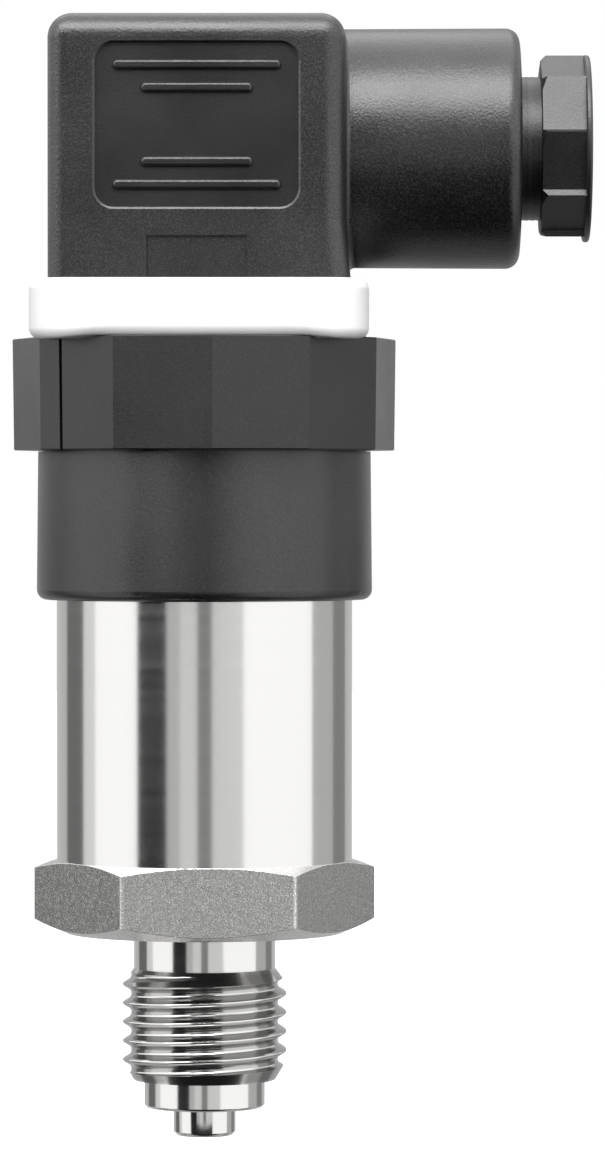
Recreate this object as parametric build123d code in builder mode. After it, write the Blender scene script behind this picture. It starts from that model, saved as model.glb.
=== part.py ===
from build123d import *

import os
from math import cos, radians, sin

# A screw-in pressure transducer with an angled four-pole plug, in millimetres.
# The origin is the centre of the hexagon's underside, where the instrument
# seats on its port. +Z runs up to the plug and +X out of the cable gland.
# Process end: hexagon, thread, spigot and centring pin are turned from one bar.

fit = 0.05                      # radial clearance of a plain fit
union_gap = 0.1                 # gap left under the union collar

# Process connection
hex_across = 26.7               # across the flats
hex_corner_r = 15.25            # the corners are turned down to this radius
hex_height = 6.55
hex_turn = 2.5                  # degrees that the hexagon stands turned about the axis
hex_top_ledge = 0.15            # flat left between the top chamfer and the tube
hex_chamfer_top = 0.65
hex_chamfer_base_r = 12.4
hex_chamfer_base = 1.22
relief_r = 6.37                 # undercut between hexagon and thread
relief_length = 3.2
thread_r = 7.4                  # over the crests, the helix left plain here
thread_length = 10.05
thread_lead = 1.4               # cone from the undercut out to the crests
thread_point = 1.7              # cone at the thread's lower end
thread_foot_r = 6.4
spigot_r = 5.43
spigot_length = 2.5
spigot_chamfer = 0.25
pin_r = 2.8                     # centring pin
pin_length = 2.55
pin_chamfer = 0.35
channel_r = 1.4                 # pressure channel
register_length = 7.95          # upward, inside the tube

# Pressure cell and what holds it
cell_r = 9.0
cell_floor = 3.0                # its seat, above the hexagon's underside
diaphragm_thickness = 0.8
cell_height = 6.35              # diaphragm and body together
cell_notch_r = 1.1
cell_pocket_short = 0.35        # the cell stands this far out of its pocket
clamp_step_width = 1.0          # the clamp ring's thread is this much wider than the cell
clamp_height = 3.4
clamp_bore_r = 6.4
clamp_slot_width = 2.0
clamp_slot_depth = 1.4
chamber_r = 4.9                 # pressure chamber under the diaphragm
chamber_depth = 0.8
cell_seal_inner_r = 5.75
cell_seal_outer_r = 7.65
cell_seal_height = 1.1

# Tube and electronics
tube_r = 13.3
tube_wall = 1.3
tube_length = 31.45
board_width = 15.0
board_thickness = 1.6
holder_height = 3.5
holder_slot_depth = 2.5
window_margin = 1.4             # room round the cell pins in the board holder
window_depth = 6.0
pin_count = 4
pin_pitch = 2.54
cell_pin_width = 0.5
cell_pin_reach = 6.0            # of the pins, above the board holder's floor

# Parts soldered to the board: sizes are width, length and height off the board.
# Places are x and the height above the board's foot, or a negative height below its upper end
chip_size = (6.0, 5.0, 1.3)
chips_front = [(0, 9.5)]
chips_back = [(0, 9.7)]
driver_size = (3.9, 4.9, 1.4)
drivers_front = [(-3.6, -6.0)]
drivers_back = [(3.2, -7.0)]
capacitor_size = (1.6, 3.2, 1.2)
capacitors_front = [(4.9, 8.5), (-4.9, 9.0)]
capacitors_back = [(4.7, 5.5), (-4.7, 10.5)]
reservoir_size = (2.6, 3.5, 1.9)
reservoirs_front = [(0.2, -5.5)]
reservoirs_back = [(-3.6, -6.0)]
resistor_size = (2.0, 0.8, 0.5)
resistor_pitch = 1.2
resistor_count = 4
resistor_foot_front = (2.9, 13.0)
resistor_foot_back = (-1.5, 3.1)

# Head sleeve and its seals
sleeve_overlap = 8.0            # of sleeve and tube
sleeve_length = 13.3
sleeve_wall_bottom = 1.8        # outside the tube
sleeve_wall_top = 1.67
sleeve_edge = 0.9
neck_wall = 1.25                # the neck outside the tube's line
neck_length = 6.1
tube_seal_up = 3.0              # groove, above the sleeve's lower end
tube_seal_height = 2.0
tube_seal_depth = 0.9
base_seal_inset = 0.75          # outside the tube's bore
base_seal_width = 1.1
base_seal_height = 0.8

# Union collar
collar_wall = 2.07              # at the middle of a side, outside the neck
collar_draft = 0.12             # how much the sides draw in towards the bottom
collar_sides = 12
collar_turn = 3.2
collar_lip = 2.0
collar_edge = 0.1
collar_groove_angle = -138.3
collar_groove_width = 0.35
collar_groove_depth = 0.3

# Connector base and blades
flange_height = 2.0             # held down by the collar's lip
plinth_step = 1.0               # the plinth's side inside the neck's
base_depth = 8.9                # from the flange down into the sleeve
board_grip = 1.5                # of the board's end in the base
bush_r = 3.0
bush_length = 8.0
screw_r = 1.5
contact_circle = 9.0            # from the axis to the middle of each blade
contact_angles = {"blade_1": 0, "blade_2": 90, "blade_earth": 180, "blade_3": 270}
blade_width = 6.3
blade_thickness = 0.8
blade_reach = 8.7               # above the plinth
blade_tip = 0.9
blade_shoulder_up = 3.0         # above the base's lower end
tail_width = 4.0
tail_length = 2.0
lead_r = 0.6
lead_bend = 1.3
lead_stand_off = 2.6
lead_drop = 8.5                 # from the blade tails down to where the leads start
lead_spread = 5.2

# Gasket
gasket_wall = 1.45
gasket_shift = -0.2             # the soft gasket stands a little to the left
gasket_corner = 5.5
gasket_floor = 1.6
gasket_lip = 3.5                # how far it stands up round the plug's foot
gasket_edge = 1.1
gasket_slot_clearance = 0.5

# Plug housing
plug_left = -13.6
plug_right = 12.62
plug_half_depth = 13.4
plug_height = 26.85
plug_wall = 2.1
plug_flare = 0.78               # the cable side leans out towards the foot
plug_flare_height = 8.5
plug_edge_left = 1.3
plug_edge_right = 1.9
plug_edge_top = 2.2
cavity_corner = 1.0
roof = 2.5
panel_centre_x = -0.47
panel_down = 9.95               # from the plug's top to the panel's middle
panel_width = 18.1
panel_height = 14.6
panel_corner = 1.8
panel_depth = 0.4
rib_width = 0.9
rib_edge = 0.3
rib_rows = ((5.29, 14.85), (3.29, 9.9), (-3.22, 9.9), (-5.23, 14.85))
tab_width = 8.87
tab_height = 7.2
tab_depth = 0.3

# Cable barrel and gland
gland_down = 11.3               # from the plug's top to the gland axis
barrel_root_r = 10.72
barrel_end_r = 10.8
barrel_length = 15.68
barrel_edge = 1.25
barrel_root_fillet = 0.5
gland_r = 6.45                  # shank of the gland nut
gland_bore_depth = 11.3
wire_way_r = 5.0
cable_r = 4.5                   # cable entry through nut and washer
seal_length = 5.5
seal_bore_r = 3.5
seal_chamfer = 0.8
washer_thickness = 0.8
nut_gap = 1.9                   # shank that shows between barrel and nut
nut_length = 3.85
nut_rim_length = 0.55
nut_teeth = 9
nut_high_r = 8.38
nut_low_r = 7.76
nut_first_tooth = 11.7
nut_rim_r = 8.38
nut_edge = 0.45
nut_rim_edge = 0.2

# Contacts in the plug
insert_height = 14.0
socket_up = 2.0                 # from the insert's foot to the socket
socket_width = 7.0
socket_thickness = 2.6
socket_slot_depth = 6.0
terminal_height = 4.0
terminal_depth = 5.0
terminal_inset = 0.5
terminal_screw_r = 1.25
terminal_screw_length = 3.2
terminal_head_r = 2.2
terminal_head_height = 1.6
driver_slot_width = 0.7
driver_slot_depth = 0.8
wire_hole_r = 0.8

# Fixing screw
boss_r = 4.5                    # screw column under the plug's roof
screw_hole_r = 1.7
counterbore_r = 3.3
counterbore_depth = 3.4
screw_seal_thickness = 0.8
screw_head_r = 3.0
screw_head_height = 2.4
screw_engagement = 6.9          # in the connector base's bush
screw_slot_width = 0.8
screw_slot_depth = 1.2
screw_slot_turn = 30

# Places that follow from the sizes, upwards along the axis
thread_end = relief_length + thread_length
spigot_end = thread_end + spigot_length
pin_end = spigot_end + pin_length
register_top = hex_height + register_length
cell_top = cell_floor + cell_height
clamp_thread_r = cell_r + clamp_step_width
clamp_step = cell_top - cell_pocket_short
tube_bore_r = tube_r - tube_wall
register_r = tube_bore_r - fit
sleeve_bottom_r = tube_r + sleeve_wall_bottom
sleeve_top_r = tube_r + sleeve_wall_top
neck_r = tube_r + neck_wall
base_seal_inner_r = tube_bore_r + base_seal_inset
base_seal_outer_r = base_seal_inner_r + base_seal_width
plinth_r = neck_r - plinth_step
collar_flat_r = neck_r + fit + collar_wall
tube_top = hex_height + tube_length
sleeve_bottom = tube_top - sleeve_overlap
sleeve_shoulder = sleeve_bottom + sleeve_length
neck_top = sleeve_shoulder + neck_length
tube_seal_bottom = sleeve_bottom + tube_seal_up
base_bottom = neck_top - base_depth
board_bottom = register_top + holder_height - holder_slot_depth
board_top = base_bottom + board_grip
board_face = board_thickness / 2
collar_bottom = sleeve_shoulder + union_gap
flange_top = neck_top + flange_height
collar_top = flange_top + collar_lip
blade_shoulder = base_bottom + blade_shoulder_up
blade_top = collar_top + blade_reach
tail_bottom = base_bottom - tail_length
lead_start = tail_bottom - lead_drop
gasket_seat = collar_top + gasket_floor
plug_top = gasket_seat + plug_height
cavity_width = 2 * (plug_half_depth - plug_wall)
cavity_top = plug_top - roof
foot_left = plug_left - fit
foot_right = plug_right + plug_flare + fit
foot_half_depth = plug_half_depth + fit
insert_top = gasket_seat + insert_height
socket_bottom = gasket_seat + socket_up
terminal_bottom = insert_top - terminal_height
terminal_circle = contact_circle - terminal_inset
counterbore_floor = plug_top - counterbore_depth
head_seat = counterbore_floor + screw_seal_thickness

# Places along the cable gland
gland_z = plug_top - gland_down
gland_axis = Axis((0, 0, gland_z), (1, 0, 0))
barrel_end = plug_right + barrel_length
gland_step = barrel_end - gland_bore_depth
seal_end = gland_step + seal_length
washer_end = seal_end + washer_thickness
nut_head = barrel_end + nut_gap
nut_rim = nut_head + nut_length
nut_end = nut_rim + nut_rim_length

os.makedirs("parts", exist_ok=True)


def save(builder, name):
    """Name a finished piece and write it to its own file."""
    builder.part.label = name
    export_step(builder.part, f"parts/{name}.step")


def contact_plane(angle, radius=contact_circle):
    """Plane that faces outwards at a contact, with its x along the blade's width."""
    turn = radians(angle)
    place = (radius * cos(turn), radius * sin(turn), 0)
    return Plane(origin=place, x_dir=(-sin(turn), cos(turn), 0), z_dir=(cos(turn), sin(turn), 0))


def contact_box(angle, width, thickness, bottom, top, radius=contact_circle):
    """Box that stands at a contact, from one height to another."""
    middle = (bottom + top) / 2
    turn = radians(angle)
    place = Location((radius * cos(turn), radius * sin(turn), middle), (0, 0, angle))
    return place * Box(thickness, width, top - bottom, mode=Mode.PRIVATE)


def from_gland_axis(point):
    """How far a point lies from the axis of the cable gland."""
    return (point - gland_axis.position).cross(gland_axis.direction).length


# Process connection, turned from hexagon bar
with BuildPart() as process_connection:
    with BuildSketch(Plane.XZ):
        with BuildLine():
            Polyline(
                (channel_r, -pin_end),
                (pin_r - pin_chamfer, -pin_end),
                (pin_r, -pin_end + pin_chamfer),
                (pin_r, -spigot_end),
                (spigot_r - spigot_chamfer, -spigot_end),
                (spigot_r, -spigot_end + spigot_chamfer),
                (spigot_r, -thread_end),
                (thread_foot_r, -thread_end),
                (thread_r, -thread_end + thread_point),
                (thread_r, -relief_length - thread_lead),
                (relief_r, -relief_length),
                (relief_r, 0),
                (hex_chamfer_base_r, 0),
                (hex_corner_r, hex_chamfer_base),
                (hex_corner_r, hex_height - hex_chamfer_top),
                (tube_r + hex_top_ledge, hex_height),
                (register_r, hex_height),
                (register_r, register_top),
                (clamp_thread_r, register_top),
                (clamp_thread_r, clamp_step),
                (cell_r + fit, clamp_step),
                (cell_r + fit, cell_floor),
                (cell_seal_outer_r + fit, cell_floor),
                (cell_seal_outer_r + fit, cell_floor - cell_seal_height),
                (cell_seal_inner_r - fit, cell_floor - cell_seal_height),
                (cell_seal_inner_r - fit, cell_floor),
                (chamber_r, cell_floor),
                (chamber_r, cell_floor - chamber_depth),
                (channel_r, cell_floor - chamber_depth),
                close=True,
            )
        make_face()
    revolve(axis=Axis.Z)
    with BuildSketch(Plane.XY):
        Circle(hex_corner_r + 1)
        RegularPolygon(
            hex_across / 2, 6, major_radius=False, rotation=hex_turn, mode=Mode.SUBTRACT
        )
    extrude(amount=hex_height, mode=Mode.SUBTRACT)
save(process_connection, "process_connection")

# Welded tube
with BuildPart() as housing_tube:
    with BuildSketch(Plane.XY.offset(hex_height)):
        Circle(tube_r)
        Circle(tube_bore_r, mode=Mode.SUBTRACT)
    extrude(amount=tube_top - hex_height)
save(housing_tube, "housing_tube")

# Pressure cell: squeezed seal ring, diaphragm, body with three locating notches
with BuildPart() as cell_seal:
    with BuildSketch(Plane.XY.offset(cell_floor - cell_seal_height)):
        Circle(cell_seal_outer_r)
        Circle(cell_seal_inner_r, mode=Mode.SUBTRACT)
    extrude(amount=cell_seal_height)
save(cell_seal, "cell_seal")

with BuildPart() as cell_diaphragm:
    with BuildSketch(Plane.XY.offset(cell_floor)):
        Circle(cell_r)
    extrude(amount=diaphragm_thickness)
save(cell_diaphragm, "cell_diaphragm")

with BuildPart() as cell_body:
    with BuildSketch(Plane.XY.offset(cell_floor + diaphragm_thickness)):
        Circle(cell_r)
        with PolarLocations(cell_r, 3, start_angle=30):
            Circle(cell_notch_r, mode=Mode.SUBTRACT)
    extrude(amount=cell_height - diaphragm_thickness)
save(cell_body, "cell_body")

with BuildPart() as cell_clamp_ring:
    with BuildSketch(Plane.XY.offset(cell_top)):
        Circle(clamp_thread_r - fit)
        Circle(clamp_bore_r, mode=Mode.SUBTRACT)
    extrude(amount=clamp_height)
    with BuildSketch(Plane.XY.offset(cell_top + clamp_height)):
        with PolarLocations(clamp_thread_r, 4, start_angle=45):
            Rectangle(2 * (clamp_thread_r - clamp_bore_r) + 1, clamp_slot_width)
    extrude(amount=-clamp_slot_depth, mode=Mode.SUBTRACT)
save(cell_clamp_ring, "cell_clamp_ring")

with BuildPart() as cell_pins:
    with BuildSketch(Plane.XY.offset(cell_top)):
        with Locations((0, -board_face - cell_pin_width / 2)):
            with GridLocations(pin_pitch, 1, pin_count, 1):
                Rectangle(cell_pin_width, cell_pin_width)
    extrude(amount=register_top + cell_pin_reach - cell_top)
save(cell_pins, "cell_pins")

# Board holder: a moulded disc on the register, slotted for the upright board
with BuildPart() as board_holder:
    with BuildSketch(Plane.XY.offset(register_top)):
        Circle(register_r - fit)
        pins_width = (pin_count - 1) * pin_pitch + cell_pin_width
        Rectangle(pins_width + 2 * window_margin, window_depth, mode=Mode.SUBTRACT)
    extrude(amount=holder_height)
    with BuildSketch(Plane.XY.offset(board_bottom)):
        Rectangle(board_width + 2 * fit, board_thickness + 2 * fit)
    extrude(amount=register_top + holder_height - board_bottom, mode=Mode.SUBTRACT)
save(board_holder, "board_holder")

with BuildPart() as circuit_board:
    with BuildSketch(Plane.XY.offset(board_bottom)):
        Rectangle(board_width, board_thickness)
    extrude(amount=board_top - board_bottom)
save(circuit_board, "circuit_board")


def on_board(side, places, size):
    """Boxes that lie on one side of the board: -1 is its front and 1 its back."""
    width, length, height = size
    for x, z in places:
        board_end = board_bottom if z > 0 else board_top
        with Locations((x, side * (board_face + height / 2), board_end + z)):
            Box(width, height, length)


with BuildPart() as board_chips:
    on_board(-1, chips_front, chip_size)
    on_board(1, chips_back, chip_size)
    on_board(-1, drivers_front, driver_size)
    on_board(1, drivers_back, driver_size)
save(board_chips, "board_chips")

with BuildPart() as board_capacitors:
    on_board(-1, capacitors_front, capacitor_size)
    on_board(1, capacitors_back, capacitor_size)
    on_board(-1, reservoirs_front, reservoir_size)
    on_board(1, reservoirs_back, reservoir_size)
save(board_capacitors, "board_capacitors")

with BuildPart() as board_resistors:
    for side, (foot_x, foot_z) in ((-1, resistor_foot_front), (1, resistor_foot_back)):
        row = [(foot_x, foot_z + resistor_pitch * place) for place in range(resistor_count)]
        on_board(side, row, resistor_size)
save(board_resistors, "board_resistors")

# Head sleeve: moulded over the tube's end, with the neck that the union collar screws to
with BuildPart() as head_sleeve:
    with BuildSketch(Plane.XZ):
        with BuildLine():
            Polyline(
                (tube_r + fit, sleeve_bottom),
                (sleeve_bottom_r, sleeve_bottom),
                (sleeve_top_r, sleeve_shoulder),
                (neck_r, sleeve_shoulder),
                (neck_r, neck_top),
                (base_seal_outer_r + fit, neck_top),
                (base_seal_outer_r + fit, neck_top - base_seal_height),
                (base_seal_inner_r - fit, neck_top - base_seal_height),
                (base_seal_inner_r - fit, neck_top),
                (tube_bore_r, neck_top),
                (tube_bore_r, tube_top),
                (tube_r + fit, tube_top),
                (tube_r + fit, tube_seal_bottom + tube_seal_height),
                (tube_r + tube_seal_depth, tube_seal_bottom + tube_seal_height),
                (tube_r + tube_seal_depth, tube_seal_bottom),
                (tube_r + fit, tube_seal_bottom),
                close=True,
            )
        make_face()
    revolve(axis=Axis.Z)
    rim_edges = edges().filter_by(GeomType.CIRCLE).group_by(Axis.Z)[0]
    fillet(rim_edges.sort_by(SortBy.RADIUS)[-1], sleeve_edge)
save(head_sleeve, "head_sleeve")

with BuildPart() as tube_seal:
    with BuildSketch(Plane.XZ):
        with BuildLine():
            Polyline(
                (tube_r + fit, tube_seal_bottom),
                (tube_r + tube_seal_depth - fit, tube_seal_bottom),
                (tube_r + tube_seal_depth - fit, tube_seal_bottom + tube_seal_height),
                (tube_r + fit, tube_seal_bottom + tube_seal_height),
                close=True,
            )
        make_face()
    revolve(axis=Axis.Z)
save(tube_seal, "tube_seal")

with BuildPart() as base_seal:
    with BuildSketch(Plane.XY.offset(neck_top - base_seal_height)):
        Circle(base_seal_outer_r)
        Circle(base_seal_inner_r, mode=Mode.SUBTRACT)
    extrude(amount=base_seal_height)
save(base_seal, "base_seal")

# Union collar: twelve sides with a slight draw taper, a bore over the neck and a top lip
with BuildPart() as union_collar:
    with BuildSketch(Plane.XY.offset(collar_bottom)):
        RegularPolygon(
            collar_flat_r - collar_draft, collar_sides, major_radius=False, rotation=collar_turn
        )
    with BuildSketch(Plane.XY.offset(collar_top)):
        RegularPolygon(collar_flat_r, collar_sides, major_radius=False, rotation=collar_turn)
    loft(ruled=True)
    chamfer(faces().filter_by(Axis.Z).edges(), collar_edge)
    with BuildSketch(Plane.XY.offset(collar_bottom)):
        Circle(neck_r + fit)
    extrude(amount=flange_top - collar_bottom, mode=Mode.SUBTRACT)
    with BuildSketch(Plane.XY.offset(collar_bottom)):
        Circle(plinth_r + fit)
    extrude(amount=collar_top - collar_bottom, mode=Mode.SUBTRACT)
    with BuildSketch(Plane.XY.offset(collar_bottom)):
        with PolarLocations(collar_flat_r, 1, start_angle=collar_groove_angle):
            Rectangle(4 * collar_groove_depth, collar_groove_width)
    extrude(amount=collar_top - collar_bottom, mode=Mode.SUBTRACT)
save(union_collar, "union_collar")

# Contact blades, moulded into the connector base
blades = {}
for name, angle in contact_angles.items():
    with BuildPart() as blade:
        with BuildSketch(contact_plane(angle)):
            with BuildLine():
                Polyline(
                    (-tail_width / 2, tail_bottom),
                    (tail_width / 2, tail_bottom),
                    (tail_width / 2, blade_shoulder),
                    (blade_width / 2, blade_shoulder),
                    (blade_width / 2, blade_top - blade_tip),
                    (blade_width / 2 - blade_tip, blade_top),
                    (-blade_width / 2 + blade_tip, blade_top),
                    (-blade_width / 2, blade_top - blade_tip),
                    (-blade_width / 2, blade_shoulder),
                    (-tail_width / 2, blade_shoulder),
                    close=True,
                )
            make_face()
        extrude(amount=blade_thickness / 2, both=True)
    save(blade, name)
    blades[name] = blade.part

with BuildPart() as base_bush:
    with BuildSketch(Plane.XY.offset(collar_top - bush_length)):
        Circle(bush_r)
        Circle(screw_r + fit, mode=Mode.SUBTRACT)
    extrude(amount=bush_length)
save(base_bush, "base_bush")

# Connector base: plug into the sleeve, flange under the collar's lip, plinth for the gasket
with BuildPart() as connector_base:
    with BuildSketch(Plane.XZ):
        with BuildLine():
            Polyline(
                (0, base_bottom),
                (tube_bore_r - fit, base_bottom),
                (tube_bore_r - fit, neck_top),
                (neck_r, neck_top),
                (neck_r, flange_top),
                (plinth_r, flange_top),
                (plinth_r, collar_top),
                (0, collar_top),
                close=True,
            )
        make_face()
    revolve(axis=Axis.Z)
    with BuildSketch(Plane.XY.offset(base_bottom)):
        Rectangle(board_width + 2 * fit, board_thickness + 2 * fit)
    extrude(amount=board_top - base_bottom, mode=Mode.SUBTRACT)
    with BuildSketch(Plane.XY.offset(collar_top)):
        Circle(bush_r)
    extrude(amount=-bush_length, mode=Mode.SUBTRACT)
    for blade_solid in blades.values():
        add(blade_solid, mode=Mode.SUBTRACT)
save(connector_base, "connector_base")

# Leads from the board to the blade tails, straight runs joined by bends
with BuildPart() as output_leads:
    for side in (-1, 1):
        start = (lead_spread * side, -board_face, lead_start)
        out = (lead_spread * side, -board_face - lead_stand_off, lead_start)
        turn_up = (contact_circle * side, -board_face - lead_r, lead_start + lead_stand_off + lead_r)
        tail = (contact_circle * side, -board_face - lead_r, tail_bottom)
        with BuildLine() as side_route:
            FilletPolyline(start, out, turn_up, tail, radius=lead_bend)
        with BuildSketch(Plane(origin=start, z_dir=(0, -1, 0))):
            Circle(lead_r)
        sweep(path=side_route.line)
    for side in (-1, 1):
        start = (0, board_face * side, lead_start + 3 * lead_r)
        out = (0, contact_circle * side, lead_start + 3 * lead_r)
        tail = (0, contact_circle * side, tail_bottom)
        with BuildLine() as face_route:
            FilletPolyline(start, out, tail, radius=2 * lead_bend)
        with BuildSketch(Plane(origin=start, z_dir=(0, side, 0))):
            Circle(lead_r)
        sweep(path=face_route.line)
save(output_leads, "output_leads")

# White gasket: a soft square cup around the plug's foot
with BuildPart() as base_gasket:
    with BuildSketch(Plane.XY.offset(collar_top)):
        with Locations(((foot_left + foot_right) / 2 + gasket_shift, 0)):
            RectangleRounded(
                foot_right - foot_left + 2 * gasket_wall,
                2 * (foot_half_depth + gasket_wall),
                gasket_corner,
            )
    extrude(amount=gasket_floor + gasket_lip)
    fillet(faces().filter_by(Axis.Z).edges(), gasket_edge)
    with BuildSketch(Plane.XY.offset(gasket_seat)):
        with Locations(((foot_left + foot_right) / 2, 0)):
            RectangleRounded(foot_right - foot_left, 2 * foot_half_depth, plug_edge_left)
    extrude(amount=gasket_lip, mode=Mode.SUBTRACT)
    with BuildSketch(Plane.XY.offset(collar_top)):
        Circle(bush_r + gasket_slot_clearance)
        with PolarLocations(contact_circle, 4):
            Rectangle(
                blade_thickness + 2 * gasket_slot_clearance, blade_width + 2 * gasket_slot_clearance
            )
    extrude(amount=gasket_floor, mode=Mode.SUBTRACT)
save(base_gasket, "base_gasket")

# Plug housing: square cap and cable barrel in one moulding
with BuildPart() as plug_housing:
    with BuildSketch(Plane.XZ):
        with BuildLine():
            Polyline(
                (plug_left, gasket_seat),
                (plug_left, plug_top),
                (plug_right, plug_top),
                (plug_right, gasket_seat + plug_flare_height),
                (plug_right + plug_flare, gasket_seat),
                close=True,
            )
        make_face()
    extrude(amount=plug_half_depth, both=True)
    upright = edges().filter_by(lambda edge: abs(edge.tangent_at(0.5).Z) > 0.9)
    left_edges = upright.filter_by_position(Axis.X, plug_left - 1, plug_left + 1)
    right_edges = upright.filter_by_position(Axis.X, plug_right - 1, plug_right + 1)
    fillet(left_edges, plug_edge_left)
    fillet(right_edges, plug_edge_right)
    fillet(faces().sort_by(Axis.Z)[-1].edges(), plug_edge_top)

    # Cable barrel, drawn in half section and turned about the gland axis
    with BuildSketch(Plane.XZ):
        with BuildLine():
            Polyline(
                (cavity_width / 2, gland_z),
                (cavity_width / 2, gland_z + barrel_root_r),
                (barrel_end, gland_z + barrel_end_r),
                (barrel_end, gland_z),
                close=True,
            )
        make_face()
    revolve(axis=gland_axis)
    fillet(edges().sort_by(Axis.X)[-1], barrel_edge)
    near_side = edges().filter_by_position(Axis.X, plug_right - plug_edge_top, plug_right + plug_flare)
    barrel_foot = near_side.filter_by(
        lambda edge: abs(from_gland_axis(edge @ 0.5) - barrel_root_r) < fit
    )
    fillet(barrel_foot, barrel_root_fillet)

    # Inside: contact chamber, screw column, wire way and gland bore
    with BuildSketch(Plane.XY.offset(gasket_seat)):
        RectangleRounded(cavity_width, cavity_width, cavity_corner)
    extrude(amount=cavity_top - gasket_seat, mode=Mode.SUBTRACT)
    with BuildSketch(Plane.XY.offset(insert_top)):
        Circle(boss_r)
    extrude(amount=cavity_top - insert_top)
    with Locations((0, 0, plug_top)):
        CounterBoreHole(
            screw_hole_r, counterbore_r, counterbore_depth, plug_top - insert_top
        )
    with BuildSketch(Plane.YZ.offset(barrel_end)):
        with Locations((0, gland_z)):
            Circle(gland_r + fit)
    extrude(amount=gland_step - barrel_end, mode=Mode.SUBTRACT)
    with BuildSketch(Plane.YZ.offset(gland_step)):
        with Locations((0, gland_z)):
            Circle(wire_way_r)
    extrude(amount=cavity_width / 2 - gland_step, mode=Mode.SUBTRACT)

    # Sunk panel with four raised bars on both faces, and the small tab window in front
    for face_side in (-1, 1):
        face_plane = Plane(
            origin=(panel_centre_x, face_side * plug_half_depth, plug_top - panel_down),
            x_dir=(1, 0, 0),
            z_dir=(0, face_side, 0),
        )
        floor_plane = face_plane.offset(-panel_depth)
        with BuildSketch(face_plane):
            RectangleRounded(panel_width, panel_height, panel_corner)
        extrude(amount=-panel_depth, mode=Mode.SUBTRACT)
        for rib_z, rib_length in rib_rows:
            with BuildSketch(floor_plane):
                with Locations((0, -face_side * rib_z)):
                    SlotOverall(rib_length, rib_width)
            extrude(amount=panel_depth)
            crest = edges(Select.LAST).group_by(Axis.Y)[0 if face_side < 0 else -1]
            fillet(crest, rib_edge)
    with BuildSketch(Plane.XZ.offset(plug_half_depth)):
        with Locations((panel_centre_x, gasket_seat + tab_height / 2)):
            Rectangle(tab_width, tab_height)
    extrude(amount=-tab_depth, mode=Mode.SUBTRACT)
save(plug_housing, "plug_housing")

# Contact insert: holds the four sockets over the blades
with BuildPart() as contact_insert:
    with BuildSketch(Plane.XY.offset(gasket_seat)):
        RectangleRounded(cavity_width - 2 * fit, cavity_width - 2 * fit, cavity_corner)
        Circle(screw_hole_r, mode=Mode.SUBTRACT)
    extrude(amount=insert_top - gasket_seat)
    for angle in contact_angles.values():
        add(
            contact_box(
                angle, socket_width + 2 * fit, socket_thickness + 2 * fit, gasket_seat, terminal_bottom
            ),
            mode=Mode.SUBTRACT,
        )
        add(
            contact_box(
                angle,
                socket_width + 2 * fit,
                terminal_depth + 2 * fit,
                terminal_bottom,
                insert_top,
                terminal_circle,
            ),
            mode=Mode.SUBTRACT,
        )
save(contact_insert, "contact_insert")

# Sockets: a slotted clip below and a screw terminal above
for name, angle in contact_angles.items():
    with BuildPart() as socket:
        add(contact_box(angle, socket_width, socket_thickness, socket_bottom, terminal_bottom))
        add(
            contact_box(
                angle, socket_width, terminal_depth, terminal_bottom, insert_top, terminal_circle
            )
        )
        slot_width = blade_width + 2 * fit
        slot_thickness = blade_thickness + 2 * fit
        slot_top = socket_bottom + socket_slot_depth
        slot = contact_box(angle, slot_width, slot_thickness, socket_bottom, slot_top)
        add(slot, mode=Mode.SUBTRACT)
        with BuildSketch(Plane.XY.offset(insert_top)):
            with PolarLocations(terminal_circle, 1, start_angle=angle):
                Circle(terminal_screw_r + fit)
        extrude(amount=-terminal_screw_length, mode=Mode.SUBTRACT)
        with BuildSketch(contact_plane(angle, terminal_circle)):
            with Locations((0, insert_top - terminal_height / 2)):
                Circle(wire_hole_r)
        extrude(amount=-terminal_depth, mode=Mode.SUBTRACT)
    save(socket, name.replace("blade", "socket"))

with BuildPart() as terminal_screws:
    with BuildSketch(Plane.XY.offset(insert_top)):
        with PolarLocations(terminal_circle, 4):
            Circle(terminal_screw_r)
    extrude(amount=-terminal_screw_length)
    with BuildSketch(Plane.XY.offset(insert_top)):
        with PolarLocations(terminal_circle, 4):
            Circle(terminal_head_r)
    extrude(amount=terminal_head_height)
    with BuildSketch(Plane.XY.offset(insert_top + terminal_head_height)):
        with PolarLocations(terminal_circle, 4):
            Rectangle(driver_slot_width, 3 * terminal_head_r)
    extrude(amount=-driver_slot_depth, mode=Mode.SUBTRACT)
save(terminal_screws, "terminal_screws")

# Fixing screw and its seal, in the counterbore on top of the plug
with BuildPart() as fixing_screw:
    with BuildSketch(Plane.XY.offset(head_seat)):
        Circle(screw_r)
    extrude(amount=collar_top - screw_engagement - head_seat)
    with BuildSketch(Plane.XY.offset(head_seat)):
        Circle(screw_head_r)
    extrude(amount=screw_head_height)
    with BuildSketch(Plane.XY.offset(head_seat + screw_head_height)):
        Rectangle(3 * screw_head_r, screw_slot_width, rotation=screw_slot_turn)
    extrude(amount=-screw_slot_depth, mode=Mode.SUBTRACT)
save(fixing_screw, "fixing_screw")

with BuildPart() as screw_seal:
    with BuildSketch(Plane.XY.offset(counterbore_floor)):
        Circle(screw_head_r)
        Circle(screw_r + fit, mode=Mode.SUBTRACT)
    extrude(amount=screw_seal_thickness)
save(screw_seal, "screw_seal")

# Cable gland: rubber bush, pressure washer and saw-toothed nut
with BuildPart() as gland_seal:
    with BuildSketch(Plane.YZ.offset(gland_step)):
        with Locations((0, gland_z)):
            Circle(gland_r)
            Circle(seal_bore_r, mode=Mode.SUBTRACT)
    extrude(amount=seal_length)
    chamfer(edges().sort_by(Axis.X)[0], seal_chamfer)
save(gland_seal, "gland_seal")

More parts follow.
